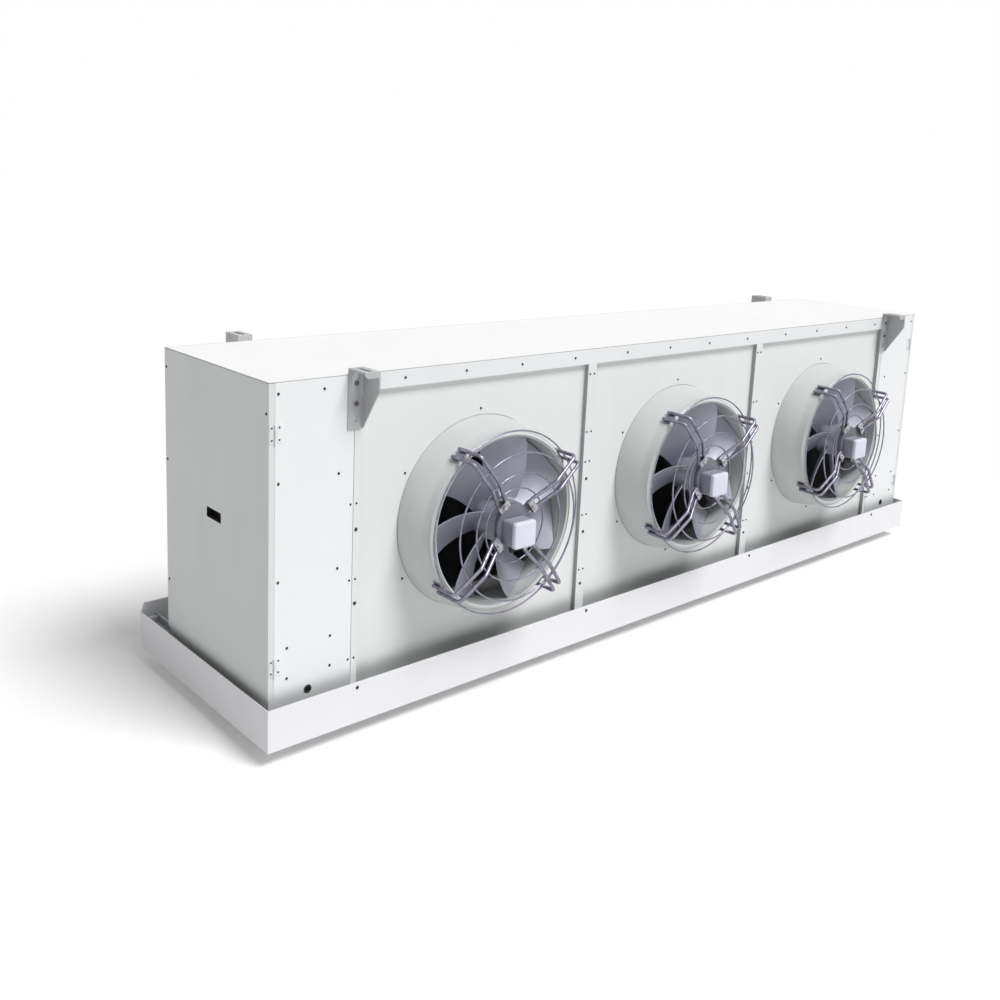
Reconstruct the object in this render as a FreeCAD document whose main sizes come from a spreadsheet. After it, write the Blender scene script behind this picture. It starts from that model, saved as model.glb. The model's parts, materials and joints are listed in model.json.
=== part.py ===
import FreeCAD, Part
import math
import os
import re
import Sketcher

# Walk-in unit cooler: three fans blow cold air out of the front of a long sheet casing.
# X runs along the casing, -Y is the air outlet, +Z is up. The origin is the middle of the
# ceiling plane that the four hanging brackets are bolted to. Lengths are in millimetres.

doc = FreeCAD.newDocument("UnitCooler")

bayCount = 3
armCount = 4
bladeCount = 7
levelCount = 16
rowCount = 4

# Driving dimensions: name, value, what it measures
sizes = [
    ("bayPitch", 900, "one fan axis to the next"),
    ("endWidth", 255, "end section with pipework, outside the last seam"),
    ("casingDepth", 600, "front face to rear face"),
    ("casingHeight", 903, "roof to the lower edge of the panels"),
    ("roofDrop", 18, "ceiling plane down to the roof"),
    ("sheet", 1.5, "casing sheet"),
    ("seamGap", 2.5, "open seam between an end panel and its post"),
    ("foldDepth", 28, "turned-in edges of the roof and panels"),
    ("railHeight", 49, "rail above the fan panels"),
    ("postWidth", 38, "face of the post between two fan panels"),
    ("webThickness", 3, "wall between two fan bays"),
    ("panelRecess", 15, "fan panels behind the front face"),
    ("fanOffset", 6.5, "fan axes below the middle of the panels"),
    ("coverReturn", 17, "edge of a side cover folded onto the front and rear"),
    ("coverPlay", 0.6, "running gap round a side cover"),
    ("coverLift", 5, "side cover above the tray edge"),
    ("gripWidth", 84, "hand grip in a side cover"),
    ("gripHeight", 30, "hand grip, top to bottom"),
    ("gripDepth", 24, "hand grip, into the casing"),
    ("gripDrop", 422, "roof to the middle of the hand grip"),
    ("gripWall", 1.6, "wall of the grip cup"),
    ("hingeHeight", 50, "leaf of a cover hinge"),
    ("hingeLeaf", 19, "width of the fixed leaf"),
    ("hingeSheet", 1, "thickness of a leaf"),
    ("knuckleRadius", 3, "outside of the hinge knuckle"),
    ("hingePinRadius", 1.5, "hinge pin"),
    ("hingeTopDrop", 132, "roof to the upper hinge"),
    ("hingeLowRise", 143, "lower edge of the panels to the lower hinge"),
    ("runningFit", 0.05, "radial play of a pin in its hole"),
    ("softGap", 0.4, "play between a curved face and its neighbour"),
    ("grommetRadius", 9, "cable entry hole"),
    ("grommetBore", 6, "hole through the rubber grommet"),
    ("grommetLip", 2.5, "lip of the grommet round its hole"),
    ("grommetRise", 53, "lower edge of the panels to the cable entry"),
    ("grommetInset", 136, "seam to the cable entry"),
    ("collarRadius", 270, "outside of the nozzle collar"),
    ("throatStep", 18, "throat smaller than the collar"),
    ("flareRadius", 216, "hollow curve at the foot of the collar"),
    ("flareHeight", 95, "length of that curve along the axis"),
    ("nozzleReach", 135, "fan panel to the front of the collar"),
    ("throatLength", 96, "straight throat behind the lip"),
    ("lipRadius", 12, "outer rounding of the collar's lip"),
    ("nozzleWall", 2, "nozzle sheet"),
    ("flangeWidth", 60, "flange behind the fan panel, wider than the collar"),
    ("nozzlePlay", 2, "open ring between the fan panel and the nozzle"),
    ("tipGap", 4, "blade tip to throat"),
    ("rotorRadius", 66, "outside of the rotor bell"),
    ("rotorWall", 6, "wall of the rotor bell"),
    ("rotorLength", 98, "rotor bell along the axis"),
    ("rotorGap", 0.8, "air gap of the motor"),
    ("rotorLead", 16, "rotor bell in front of the nozzle lip"),
    ("shaftRadius", 7.5, "motor shaft"),
    ("flangeRadius", 62, "front flange of the motor"),
    ("flangeLead", 30, "front of the motor flange before the nozzle lip"),
    ("flangeThickness", 8, "motor flange and its lugs"),
    ("lugRadius", 80, "bolt circle of the motor lugs"),
    ("lugWidth", 28, "width of a lug"),
    ("boltRadius", 4, "guard bolt, M8"),
    ("bladeThickness", 3, "blade"),
    ("bladeSetback", 51, "nozzle lip to the middle of the blades"),
    ("rootChord", 88, "blade chord at the rotor"),
    ("tipChord", 164, "blade chord at the tip"),
    ("rootPitch", 42, "blade angle at the rotor, degrees"),
    ("tipPitch", 24, "blade angle at the tip, degrees"),
    ("bladeSweep", 14, "how far the tip runs ahead, degrees"),
    ("bladePhase", 25, "first blade at rest from the horizontal, degrees"),
    ("bladeCamber", 9, "height of the blade's curve"),
    ("rodRadius", 5.5, "rods of the guard arms"),
    ("rodSpacing", 30, "between the two rods of an arm"),
    ("armStart", 70, "inner end of the guard arms"),
    ("armAngle", 37, "first guard arm from the horizontal, degrees"),
    ("kneeRadius", 172, "bend of the guard arm"),
    ("kneeLead", 66, "bend of the guard arm before the nozzle lip"),
    ("elbowLead", 56, "outer corner of the guard arm before the nozzle lip"),
    ("footSetback", 40, "guard foot behind the nozzle lip"),
    ("footLength", 30, "guard foot along the axis"),
    ("footSheet", 3, "guard foot"),
    ("weldSink", 0.5, "how far the rods sink into the foot"),
    ("rodBend", 16, "bend radius of the rods"),
    ("wireRadius", 2.5, "guard rings"),
    ("ringInner", 110, "innermost guard ring"),
    ("ringSecond", 160, "second guard ring"),
    ("ringThird", 219, "third guard ring"),
    ("ringLead", 10, "outermost guard ring before the nozzle lip"),
    ("clampSheet", 3, "clamp over the two rods"),
    ("headHeight", 5.5, "hexagon head of a guard bolt"),
    ("headRadius", 7.5, "across the corners of that head, halved"),
    ("boxWidth", 80, "terminal box"),
    ("boxHeight", 76, "terminal box"),
    ("boxDepth", 42, "terminal box behind its lid"),
    ("boxDrop", 16, "terminal box below the fan axis"),
    ("boxWall", 2.5, "terminal box"),
    ("boxCorner", 8, "rounded corners of the box"),
    ("lidDepth", 13, "lid of the terminal box"),
    ("lidReach", 1, "lid wider than the box"),
    ("glandRadius", 8, "cable gland"),
    ("glandLength", 18, "cable gland"),
    ("glandOffset", 22, "cable gland from the middle of the box"),
    ("coilDepth", 260, "fin pack, front to rear"),
    ("coilBase", 53, "lower edge of the panels to the fin pack"),
    ("coilDrop", 50, "roof to the fin pack"),
    ("coilInset", 16, "fin pack in front of the rear face"),
    ("finPitch", 25, "slots of the fin pack"),
    ("finThickness", 1.5, "wall between two slots"),
    ("coreThickness", 10, "solid core of the fin pack"),
    ("tubeRadius", 8, "coil tube"),
    ("rowPitch", 60, "tube row to tube row"),
    ("tubeStub", 34, "straight tube outside the coil"),
    ("tubeFit", 0.2, "play of a tube in the end plate"),
    ("outletRadius", 27, "outlet header and its connection"),
    ("inletRadius", 21, "inlet header and its connection"),
    ("outletOffset", 95, "end plate to the outlet header"),
    ("inletOffset", 165, "end plate to the inlet header"),
    ("headerWall", 3, "wall of a header"),
    ("swage", 1, "widening at the end of a connection"),
    ("swageStart", 5, "rear face to the widened end"),
    ("headerExtra", 30, "header past its last tube"),
    ("connectionReach", 70, "connection behind the casing"),
    ("connectionPlay", 5, "hole round a connection"),
    ("frameEdge", 10, "rear frame overlapping the fins"),
    ("frameReach", 21, "rear frame past the seam"),
    ("trayHeight", 120, "drip tray wall"),
    ("trayOverlap", 45, "panels reaching down into the tray"),
    ("traySide", 20, "tray outside the side covers"),
    ("trayFront", 36, "tray in front of the casing"),
    ("trayRear", 155, "tray behind the casing"),
    ("trayLip", 28, "rear wall above the other walls"),
    ("traySheet", 2, "drip tray"),
    ("pivotInset", 20, "tray pivot in front of the rear wall"),
    ("pivotDrop", 20, "tray pivot below the tray edge"),
    ("pivotRadius", 6, "tray hinge pin"),
    ("armThickness", 4, "tray hinge arm"),
    ("armHeight", 24, "tray hinge arm"),
    ("armInset", 21, "tray hinge arm inside the side cover"),
    ("armFoot", 40, "foot of the hinge arm on the rear panel"),
    ("armFootHeight", 80, "foot of the hinge arm, upwards"),
    ("drainRadius", 21, "drain socket"),
    ("drainBore", 17, "drain socket"),
    ("drainLength", 45, "drain socket below the tray"),
    ("drainY", 200, "drain socket behind the middle"),
    ("bracketWidth", 48, "hanging bracket"),
    ("bracketReach", 79, "hanging bracket away from the casing"),
    ("bracketHeight", 167, "hanging bracket, top to bottom"),
    ("bracketSheet", 4, "hanging bracket"),
    ("bracketLip", 17, "front lip of the bracket"),
    ("gussetEdge", 54, "outer edge of the bracket's gusset"),
    ("slotLength", 60, "hanging slot, end to end"),
    ("slotRadius", 7, "half the width of the hanging slot"),
    ("notchWidth", 16, "opening in the foot of the bracket"),
    ("notchHeight", 18, "opening in the foot of the bracket"),
    ("notchDrop", 138, "ceiling plane to that opening"),
    ("bracketBoltTop", 41, "ceiling plane to the upper bracket bolt"),
    ("bracketBoltLow", 97, "ceiling plane to the lower bracket bolt"),
    ("bracketBoltHead", 6.5, "head of a bracket bolt"),
    ("bracketBoltHeight", 4, "head of a bracket bolt"),
    ("screwRadius", 4, "head of a casing screw"),
    ("screwHeight", 2, "head of a casing screw"),
    ("studRadius", 5.5, "head of a large casing screw"),
    ("trayScrewDrop", 16, "tray edge to the tray screws"),
]

# Places worked out from the driving dimensions
derived = {
    "seamX": f"bayPitch * {bayCount / 2}",
    "halfLength": "seamX + endWidth",
    "halfDepth": "casingDepth / 2",
    "roofZ": "-roofDrop",
    "roofUnder": "roofZ - sheet",
    "bottomZ": "roofZ - casingHeight",
    "railBottom": "roofZ - railHeight",
    "fanZ": "roofZ - casingHeight / 2 - fanOffset",
    "frontY": "-halfDepth",
    "panelY": "frontY + panelRecess",
    "panelBack": "panelY + sheet",
    "lipY": "panelY - nozzleReach",
    "nozzleBase": "collarRadius + flareRadius - sqrt(flareRadius ^ 2 - flareHeight ^ 2)",
    "throatRadius": "collarRadius - throatStep",
    "nozzleFlange": "collarRadius + flangeWidth",
    "bladeRadius": "throatRadius - tipGap",
    "flangeFront": "lipY - flangeLead",
    "flangeBack": "flangeFront + flangeThickness",
    "rotorFront": "lipY - rotorLead",
    "rotorBack": "rotorFront + rotorLength",
    "rodLine": "flangeFront - rodRadius",
    "coilRear": "halfDepth - coilInset",
    "coilFront": "coilRear - coilDepth",
    "coilTop": "roofZ - coilDrop",
    "coilBottom": "bottomZ + coilBase",
    "coilHeight": "casingHeight - coilDrop - coilBase",
    "tubePitch": f"coilHeight / {levelCount}",
    "plateIn": "seamX - webThickness / 2",
    "plateOut": "seamX + webThickness / 2",
    "coverEdge": "halfLength - coverReturn",
    "coverTop": "roofUnder - coverPlay",
    "trayTop": "bottomZ + trayOverlap",
    "trayBottom": "trayTop - trayHeight",
    "trayX": "halfLength + traySide",
    "trayFrontY": "frontY - trayFront",
    "trayRearY": "halfDepth + trayRear",
    "pivotY": "trayRearY - pivotInset",
    "pivotZ": "trayTop - pivotDrop",
    "coverBottom": "trayTop + coverLift",
    "sillTop": "coverBottom - coverPlay",
    "hingeX": "coverEdge",
    "hingeY": "frontY - knuckleRadius - softGap",
    "panelEdge": "coverEdge - coverPlay",
    "armX": "halfLength - armInset",
}

sheet = doc.addObject("Spreadsheet::Sheet", "Sizes")
for row, (alias, value, note) in enumerate(sizes, start=1):
    sheet.set(f"A{row}", alias)
    sheet.set(f"B{row}", str(value))
    sheet.setAlias(f"B{row}", alias)
    sheet.set(f"C{row}", note)
doc.recompute()

aliases = {alias for alias, value, note in sizes}


# Formulas: derived places are written out, cell names get the name of the sheet
def bound(formula):
    def swap(match):
        word = match.group(0)
        if word in derived:
            return "(" + bound(derived[word]) + ")"
        return "Sizes." + word if word in aliases else word
    return re.sub(r"[A-Za-z]\w*", swap, str(formula))


def number(formula):
    return float(sheet.evalExpression(bound(formula)))


def bind(item, prop, formula):
    item.setExpression(prop, bound(formula))


def place(item, x="0", y="0", z="0"):
    for axis, formula in zip("xyz", (x, y, z)):
        bind(item, f"Placement.Base.{axis}", formula)
    return item


# Primitives and booleans
def box(name, x, y, z):
    item = doc.addObject("Part::Box", name)
    for prop, (low, high) in zip(("Length", "Width", "Height"), (x, y, z)):
        bind(item, prop, f"({high}) - ({low})")
    return place(item, x[0], y[0], z[0])


turns = {
    "X": FreeCAD.Rotation(FreeCAD.Vector(0, 1, 0), 90),
    "Y": FreeCAD.Rotation(FreeCAD.Vector(1, 0, 0), -90),
    "Z": FreeCAD.Rotation(),
}


def rod(name, axis, radius, x, y, z, length):
    item = doc.addObject("Part::Cylinder", name)
    item.Placement = FreeCAD.Placement(FreeCAD.Vector(), turns[axis])
    bind(item, "Radius", radius)
    bind(item, "Height", length)
    return place(item, x, y, z)


def join(name, items):
    item = doc.addObject("Part::MultiFuse", name)
    item.Shapes = items
    item.Refine = True
    return item


def carve(name, base, tools):
    item = doc.addObject("Part::Cut", name)
    item.Base = base
    item.Tool = tools[0] if len(tools) == 1 else join(name + "_tools", tools)
    return item


def group(name, items):
    item = doc.addObject("Part::Compound", name)
    item.Links = items
    return item


def mirrored(name, source):
    item = doc.addObject("Part::Mirroring", name)
    item.Source = source
    item.Normal = (1, 0, 0)
    return item


def solid(name, shape):
    item = doc.addObject("Part::Feature", name)
    item.Shape = shape
    item.Placement = FreeCAD.Placement()
    return item


# Bodies made of sketches
def newBody(name):
    return doc.addObject("PartDesign::Body", name)


def newSketch(body, plane, offset="0"):
    sketch = body.newObject("Sketcher::SketchObject", body.Name + "_sketch")
    role = plane + "_Plane"
    origin = [item for item in body.Origin.OriginFeatures if item.Role == role][0]
    sketch.AttachmentSupport = [(origin, "")]
    sketch.MapMode = "FlatFace"
    bind(sketch, "AttachmentOffset.Base.z", offset)
    return sketch


# A closed outline; a third value at a point makes the next edge an arc of that radius,
# with its centre to the left of the edge, or to the right where the sign is "-"
def outline(sketch, points):
    corners = [FreeCAD.Vector(number(point[0]), number(point[1]), 0) for point in points]
    ends = []
    for index, point in enumerate(points):
        start = corners[index]
        end = corners[(index + 1) % len(points)]
        if len(point) == 2:
            sketch.addGeometry(Part.LineSegment(start, end), False)
            ends.append((1, 2))
            continue
        radius = number(point[2])
        side = -1 if point[3:] == ("-",) else 1
        along = end - start
        normal = FreeCAD.Vector(-along.y, along.x, 0).normalize() * side
        rise = math.sqrt(max(radius ** 2 - along.Length ** 2 / 4, 0))
        centre = (start + end) * 0.5 + normal * rise
        first, last = (start, end) if side > 0 else (end, start)
        begin = math.atan2(first.y - centre.y, first.x - centre.x)
        finish = math.atan2(last.y - centre.y, last.x - centre.x)
        if finish < begin:
            finish += 2 * math.pi
        circle = Part.Circle(centre, FreeCAD.Vector(0, 0, 1), radius)
        sketch.addGeometry(Part.ArcOfCircle(circle, begin, finish), False)
        ends.append((1, 2) if side > 0 else (2, 1))
    for index, point in enumerate(points):
        after = (index + 1) % len(points)
        sketch.addConstraint(Sketcher.Constraint("Coincident", index, ends[index][1], after, ends[after][0]))
    for index, point in enumerate(points):
        for kind, formula in zip(("DistanceX", "DistanceY"), point):
            value = number(formula)
            spot = sketch.addConstraint(Sketcher.Constraint(kind, -1, 1, index, ends[index][0], value))
            bind(sketch, f"Constraints[{spot}]", formula)
        if len(point) > 2:
            spot = sketch.addConstraint(Sketcher.Constraint("Radius", index, number(point[2])))
            bind(sketch, f"Constraints[{spot}]", point[2])


def circles(sketch, radius, centres):
    for index, (across, up) in enumerate(centres):
        centre = FreeCAD.Vector(number(across), number(up), 0)
        sketch.addGeometry(Part.Circle(centre, FreeCAD.Vector(0, 0, 1), number(radius)), False)
        for kind, formula in (("DistanceX", across), ("DistanceY", up)):
            spot = sketch.addConstraint(Sketcher.Constraint(kind, -1, 1, index, 3, number(formula)))
            bind(sketch, f"Constraints[{spot}]", formula)
        spot = sketch.addConstraint(Sketcher.Constraint("Radius", index, number(radius)))
        bind(sketch, f"Constraints[{spot}]", radius)


# The XZ plane looks along -Y, so its offsets count the other way
def pad(body, plane, draw, low, high):
    sketch = newSketch(body, plane, f"-({high})" if plane == "XZ" else low)
    draw(sketch)
    feature = body.newObject("PartDesign::Pad", body.Name + "_pad")
    feature.Profile = sketch
    bind(feature, "Length", f"({high}) - ({low})")
    doc.recompute()
    return feature


def pocket(body, plane, draw, low, high):
    before = body.Shape.Volume
    sketch = newSketch(body, plane, f"-({low})" if plane == "XZ" else high)
    draw(sketch)
    feature = body.newObject("PartDesign::Pocket", body.Name + "_pocket")
    feature.Profile = sketch
    bind(feature, "Length", f"({high}) - ({low})")
    doc.recompute()
    if body.Shape.Volume >= before:
        raise RuntimeError(feature.Name + " cuts nothing")
    return feature


def revolve(body, points):
    sketch = newSketch(body, "XY")
    outline(sketch, points)
    feature = body.newObject("PartDesign::Revolution", body.Name + "_turn")
    feature.Profile = sketch
    feature.ReferenceAxis = (sketch, ["V_Axis"])
    doc.recompute()
    return feature


def polar(body, originals, count):
    feature = body.newObject("PartDesign::PolarPattern", body.Name + "_pattern")
    feature.Originals = originals
    axis = [item for item in body.Origin.OriginFeatures if item.Role == "Y_Axis"][0]
    feature.Axis = (axis, [""])
    feature.Angle = 360
    feature.Occurrences = count
    body.Tip = feature
    doc.recompute()
    return feature


def polygon(*points):
    return lambda sketch: outline(sketch, points)


def rectangle(across, up):
    return polygon((across[0], up[0]), (across[1], up[0]), (across[1], up[1]), (across[0], up[1]))


def holes(radius, *centres):
    return lambda sketch: circles(sketch, radius, centres)


# A rectangle with four round corners
def softRectangle(across, up, corner):
    left, right = across
    low, high = up
    return polygon(
        (f"({left}) + ({corner})", low), (f"({right}) - ({corner})", low, corner),
        (right, f"({low}) + ({corner})"), (right, f"({high}) - ({corner})", corner),
        (f"({right}) - ({corner})", high), (f"({left}) + ({corner})", high, corner),
        (left, f"({high}) - ({corner})"), (left, f"({low}) + ({corner})", corner))


nodes = {}


def keep(name, item):
    item.Label = name
    nodes[name] = item
    return item


def keepPair(name, left):
    keep(name + "_left", left)
    keep(name + "_right", mirrored(name + "_right", left))


# Roof: a flat pan with its front and rear edges turned down
def makeRoof():
    body = newBody("top_panel")
    profile = polygon(
        ("frontY", "roofZ"), ("frontY", "roofUnder"), ("frontY + sheet", "roofUnder"),
        ("frontY + sheet", "roofZ - foldDepth"), ("frontY + 2 * sheet", "roofZ - foldDepth"),
        ("frontY + 2 * sheet", "roofUnder"), ("halfDepth - 2 * sheet", "roofUnder"),
        ("halfDepth - 2 * sheet", "roofZ - foldDepth"), ("halfDepth - sheet", "roofZ - foldDepth"),
        ("halfDepth - sheet", "roofUnder"), ("halfDepth", "roofUnder"), ("halfDepth", "roofZ"))
    pad(body, "YZ", profile, "-halfLength", "halfLength")
    ends = lambda low, high: rectangle((low, high), ("frontY + sheet", "halfDepth - sheet"))
    for low, high in (("-halfLength", "-coverEdge"), ("coverEdge", "halfLength")):
        pocket(body, "XY", ends(low, high), "roofZ - foldDepth", "roofUnder")
    keep("top_panel", body)


# Front rail: runs over the three bays, with a return that meets the fan panels
def makeRail():
    body = newBody("front_top_rail")
    profile = polygon(
        ("frontY", "roofUnder"), ("frontY", "railBottom"), ("panelY", "railBottom"),
        ("panelY", "railBottom + sheet"), ("frontY + sheet", "railBottom + sheet"),
        ("frontY + sheet", "roofUnder"))
    pad(body, "YZ", profile, "-seamX", "seamX")
    keep("front_top_rail", body)


# Frame round the air inlet at the rear, with a return that meets the fins
def makeRearFrame():
    body = newBody("rear_frame")
    outerX = "seamX + frameReach"
    openX = "plateIn - frameEdge"
    openZ = ("coilBottom + frameEdge", "coilTop - frameEdge")
    pad(body, "XZ", rectangle((f"-({outerX})", outerX), ("bottomZ", "roofUnder")),
        "halfDepth - sheet", "halfDepth")
    lowZ, highZ = openZ
    pad(body, "XZ", rectangle((f"-({openX}) - sheet", f"{openX} + sheet"),
                              (f"{lowZ} - sheet", f"{highZ} + sheet")),
        "coilRear", "halfDepth - sheet")
    pocket(body, "XZ", rectangle((f"-({openX})", openX), openZ), "coilRear", "halfDepth")
    keep("rear_frame", body)


# Front panel of an end section, with the cable entry near its foot and a sill under the cover
def makeFrontEndPanel():
    body = newBody("front_end_panel_left")
    profile = polygon(
        ("-panelEdge", "frontY"), ("-seamX - seamGap", "frontY"), ("-seamX - seamGap", "frontY + sheet"),
        ("-panelEdge + sheet", "frontY + sheet"), ("-panelEdge + sheet", "frontY + foldDepth / 2"),
        ("-panelEdge", "frontY + foldDepth / 2"))
    pad(body, "XY", profile, "bottomZ", "roofUnder")
    pocket(body, "XY", rectangle(("-panelEdge", "-seamX"), ("frontY + sheet", "frontY + foldDepth")),
           "roofZ - foldDepth", "roofUnder")
    sill = ("bottomZ", "sillTop")
    pad(body, "XZ", rectangle(("sheet - halfLength", "-panelEdge"), sill), "frontY", "frontY + sheet")
    pad(body, "YZ", rectangle(("frontY", "halfDepth - 2 * sheet"), sill), "sheet - halfLength",
        "2 * sheet - halfLength")
    pocket(body, "XZ", holes("grommetRadius", ("-seamX - grommetInset", "bottomZ + grommetRise")),
           "frontY - sheet", "frontY + 2 * sheet")
    keepPair("front_end_panel", body)


# Rear panels; the right one lets the two pipe connections out
def makeRearEndPanels():
    for name, side in (("left", -1), ("right", 1)):
        body = newBody("rear_end_panel_" + name)
        edges = (f"{side} * panelEdge", f"{side} * (seamX + frameReach)")
        pad(body, "XZ", rectangle(sorted(edges, key=number), ("bottomZ", "roofUnder")),
            "halfDepth - sheet", "halfDepth")
        if side > 0:
            for radius, offset, up in (("outletRadius", "outletOffset", outletZ),
                                       ("inletRadius", "inletOffset", inletZ)):
                pocket(body, "XZ", holes(f"{radius} + connectionPlay", (f"plateOut + {offset}", up)),
                       "halfDepth - 2 * sheet", "halfDepth + sheet")
        keep("rear_end_panel_" + name, body)


# Side cover: a tray of sheet on two hinges, with the moving half of each hinge welded on
def makeSideCovers():
    plate = newBody("side_cover_plate")
    profile = polygon(
        ("-halfLength", "frontY"), ("-coverEdge", "frontY"), ("-coverEdge", "frontY + sheet"),
        ("-halfLength + sheet", "frontY + sheet"), ("-halfLength + sheet", "halfDepth - sheet"),
        ("-coverEdge", "halfDepth - sheet"), ("-coverEdge", "halfDepth"), ("-halfLength", "halfDepth"))
    pad(plate, "XY", profile, "coverBottom", "coverTop")
    grip = rectangle(("-gripWidth / 2", "gripWidth / 2"),
                     ("roofZ - gripDrop - gripHeight / 2", "roofZ - gripDrop + gripHeight / 2"))
    pocket(plate, "YZ", grip, "-halfLength - sheet", "-halfLength + 2 * sheet")
    parts = [plate]
    clear = "(knuckleRadius + softGap)"
    tongue = "(hingeHeight / 6)"
    for spot, middle in (("top", "(roofZ - hingeTopDrop)"), ("low", "(bottomZ + hingeLowRise)")):
        leaf = box(f"cover_leaf_{spot}", ("-halfLength + 2", f"-hingeX - {clear}"),
                   ("frontY - hingeSheet", "frontY"),
                   (f"{middle} - hingeHeight / 2", f"{middle} + hingeHeight / 2"))
        strap = box(f"cover_strap_{spot}", (f"-hingeX - {clear}", "-hingeX"),
                    ("frontY - hingeSheet - softGap", "frontY - softGap"),
                    (f"{middle} - {tongue}", f"{middle} + {tongue}"))
        knuckle = rod(f"cover_knuckle_{spot}", "Z", "knuckleRadius", "-hingeX", "hingeY",
                      f"{middle} - {tongue}", f"2 * {tongue}")
        bore = rod(f"cover_bore_{spot}", "Z", "hingePinRadius + runningFit", "-hingeX", "hingeY",
                   f"{middle} - hingeHeight / 2", "hingeHeight")
        parts.append(carve(f"cover_hinge_{spot}", join(f"cover_half_{spot}", [leaf, strap, knuckle]),
                           [bore]))
    keepPair("side_cover", join("side_cover_left", parts))


# Fixed halves of the cover hinges with their pins, screwed to the front end panels
def makeHinges():
    clear = "(knuckleRadius + softGap)"
    tongue = "(hingeHeight / 6)"
    halves = []
    for spot, middle in (("top", "(roofZ - hingeTopDrop)"), ("low", "(bottomZ + hingeLowRise)")):
        parts = [box(f"fixed_leaf_{spot}", (f"-hingeX + {clear}", f"-hingeX + {clear} + hingeLeaf"),
                     ("frontY - hingeSheet", "frontY"),
                     (f"{middle} - hingeHeight / 2", f"{middle} + hingeHeight / 2")),
                 rod(f"fixed_pin_{spot}", "Z", "hingePinRadius", "-hingeX", "hingeY",
                     f"{middle} - hingeHeight / 2", "hingeHeight")]
        for way, low in (("up", f"{middle} + {tongue} + softGap"), ("down", f"{middle} - hingeHeight / 2")):
            length = f"(hingeHeight / 2 - {tongue} - softGap)"
            parts.append(rod(f"fixed_knuckle_{spot}_{way}", "Z", "knuckleRadius", "-hingeX", "hingeY",
                             low, length))
            parts.append(box(f"fixed_strap_{spot}_{way}", ("-hingeX", f"-hingeX + {clear}"),
                             ("frontY - hingeSheet - softGap", "frontY - softGap"),
                             (low, f"{low} + {length}")))
        halves.append(join(f"cover_hinge_fixed_{spot}", parts))
    left = group("cover_hinges_one_side", halves)
    keep("cover_hinges", group("cover_hinges", [left, mirrored("cover_hinges_other_side", left)]))


# Cup behind the hand grip, let into the side cover
def makeGripCups():
    body = newBody("grip_cup_left")
    half = ("-gripWidth / 2", "gripWidth / 2")
    rise = ("roofZ - gripDrop - gripHeight / 2", "roofZ - gripDrop + gripHeight / 2")
    pad(body, "YZ", rectangle(half, rise), "-halfLength", "-halfLength + gripDepth")
    inner = rectangle((f"{half[0]} + gripWall", f"{half[1]} - gripWall"),
                      (f"{rise[0]} + gripWall", f"{rise[1]} - gripWall"))
    pocket(body, "YZ", inner, "-halfLength", "-halfLength + gripDepth - gripWall")
    keepPair("grip_cup", body)


# Wall between two fan bays; its front edge is the post between two fan panels
def makePartitions():
    walls = {}
    half = "postWidth / 2"
    web = "webThickness / 2"
    inner = polygon(
        (f"-{half}", "frontY"), (half, "frontY"), (half, "panelY"), (f"{half} - sheet", "panelY"),
        (f"{half} - sheet", "frontY + sheet"), (web, "frontY + sheet"), (web, "coilFront"),
        (f"-{web}", "coilFront"), (f"-{web}", "frontY + sheet"), (f"sheet - {half}", "frontY + sheet"),
        (f"sheet - {half}", "panelY"), (f"-{half}", "panelY"))
    outer = polygon(
        ("0", "frontY"), (half, "frontY"), (half, "panelY"), (f"{half} - sheet", "panelY"),
        (f"{half} - sheet", "frontY + sheet"), (web, "frontY + sheet"), (web, "coilFront"),
        (f"-{web}", "coilFront"), (f"-{web}", "frontY + sheet"), ("0", "frontY + sheet"))
    cut = rectangle(("-postWidth", "postWidth"), ("frontY - sheet", "panelBack"))
    for name, profile in (("end", outer), ("middle", inner)):
        body = newBody("bay_wall_" + name)
        pad(body, "XY", profile, "bottomZ", "roofUnder")
        pocket(body, "XY", cut, "railBottom", "roofUnder")
        walls[name] = body
    for index in range(bayCount + 1):
        name = f"bay_partition_{index + 1}"
        source = walls["middle"]
        if index == 0:
            source = walls["end"]
        elif index == bayCount:
            source = mirrored("bay_wall_far_end", walls["end"])
        keep(name, place(group(name, [source]), f"bayPitch * {index - bayCount / 2}"))


# Pieces of one fan, made round its own axis and placed once for each bay
def keepFans(name, source):
    for index in range(bayCount):
        label = f"{name}_{index + 1}"
        copy = group(label, [source])
        keep(label, place(copy, f"bayPitch * {index - (bayCount - 1) / 2}", "0", "fanZ"))


def makeFanPanel():
    body = newBody("fan_panel")
    side = "bayPitch / 2 - webThickness / 2"
    top = "roofUnder - fanZ"
    low = "bottomZ - fanZ"
    profile = polygon(
        ("panelY", top), ("panelY", low), ("panelY + foldDepth", low),
        ("panelY + foldDepth", f"{low} + sheet"), ("panelBack", f"{low} + sheet"), ("panelBack", top))
    pad(body, "YZ", profile, f"-({side})", side)
    pocket(body, "XZ", holes("nozzleBase + nozzlePlay", ("0", "0")), "panelY - sheet", "panelBack + sheet")
    keepFans("fan_panel", body)


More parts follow.
